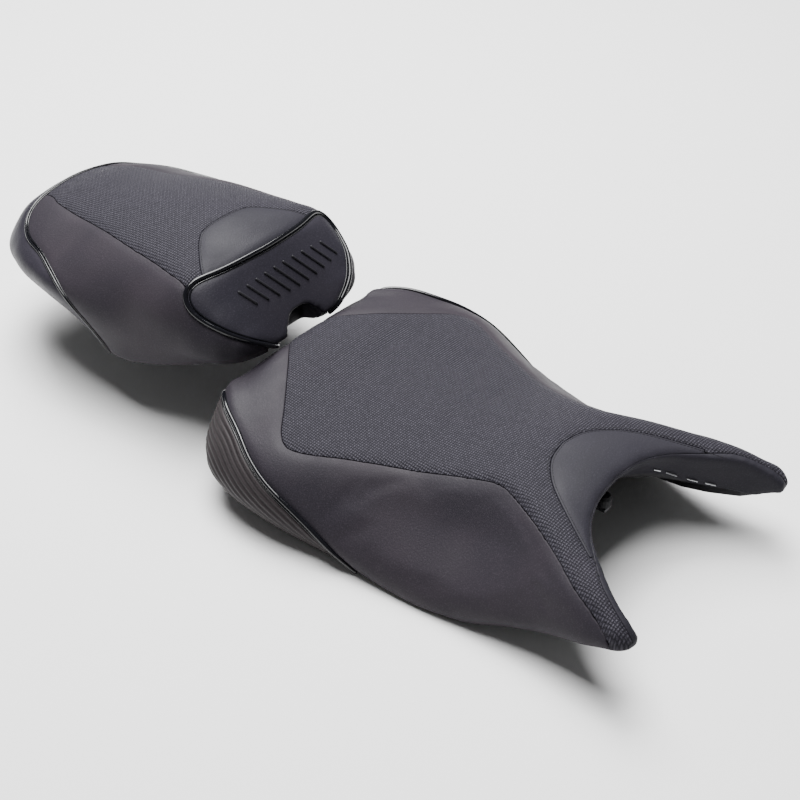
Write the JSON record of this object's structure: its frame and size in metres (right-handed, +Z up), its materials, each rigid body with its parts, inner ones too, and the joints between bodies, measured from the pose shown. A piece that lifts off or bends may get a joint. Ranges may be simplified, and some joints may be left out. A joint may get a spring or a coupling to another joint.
{
  "type": "motorcycle seat",
  "caption": "Two-piece sport seat: a waisted rider seat with tank horns, and a raised pillion seat that lifts off, in textured and smooth black vinyl with gloss piping.",
  "frame": {"origin": "centre of the flat underside of the rider seat's rear bracket, on the middle plane", "axes": "+Z up, -Y towards the front of the motorcycle, +X towards the rider's left"},
  "size_m": [0.3474, 0.831, 0.1837],
  "materials": {
    "weave_vinyl": "matte",
    "smooth_vinyl": "matte",
    "face_vinyl": "matte",
    "ribbed_vinyl": "satin",
    "gloss_cord": "gloss",
    "foam": "matte",
    "pan_plastic": "satin",
    "black_rubber": "matte",
    "bright_steel": "satin",
    "black_plate": "satin"
  },
  "bodies": {
    "rider_seat": {"rider_cover_centre": "weave_vinyl", "rider_cover_nose": "smooth_vinyl", "rider_cover_wall": "smooth_vinyl", "rider_cover_side_right": "smooth_vinyl", "rider_cover_side_left": "smooth_vinyl", "rider_cover_back": "smooth_vinyl", "rider_cover_border_right": "ribbed_vinyl", "rider_cover_border_left": "ribbed_vinyl", "rider_piping_right": "gloss_cord", "rider_piping_left": "gloss_cord", "rider_foam": "foam", "rider_base_pan": "pan_plastic", "rider_tongue_knob": "black_rubber", "rider_foot_1": "black_rubber", "rider_foot_2": "black_rubber", "rider_foot_3": "black_rubber", "rider_foot_4": "black_rubber", "rider_bracket_screw_1": "bright_steel", "rider_bracket_screw_2": "bright_steel", "rider_tongue_screw": "bright_steel", "rider_staple_left_1": "bright_steel", "rider_staple_right_1": "bright_steel", "rider_staple_left_2": "bright_steel", "rider_staple_right_2": "bright_steel", "rider_staple_left_3": "bright_steel", "rider_staple_right_3": "bright_steel", "rider_staple_left_4": "bright_steel", "rider_staple_right_4": "bright_steel", "rider_rear_bracket": "black_plate", "rider_front_tongue": "black_plate"},
    "pillion_seat": {"pillion_cover_centre": "weave_vinyl", "pillion_cover_dome": "smooth_vinyl", "pillion_cover_side_right": "smooth_vinyl", "pillion_cover_side_left": "smooth_vinyl", "pillion_cover_border": "smooth_vinyl", "pillion_cover_face": "face_vinyl", "pillion_piping_face": "gloss_cord", "pillion_piping_rear": "gloss_cord", "pillion_foam": "foam", "pillion_base_pan": "pan_plastic", "pillion_foot_1": "black_rubber", "pillion_foot_2": "black_rubber", "pillion_foot_3": "black_rubber", "pillion_foot_4": "black_rubber", "pillion_striker_screw_1": "bright_steel", "pillion_striker_screw_2": "bright_steel", "pillion_striker_hoop": "bright_steel", "pillion_striker_plate": "black_plate", "pillion_front_hook_right": "black_plate", "pillion_front_hook_left": "black_plate"}
  },
  "joints": [
    {"name": "pillion_lift_off", "type": "slide", "parent": "rider_seat", "child": "pillion_seat", "axis": [0, 0.5, 0.866], "range_m": [0, 0.25]}
  ]
}
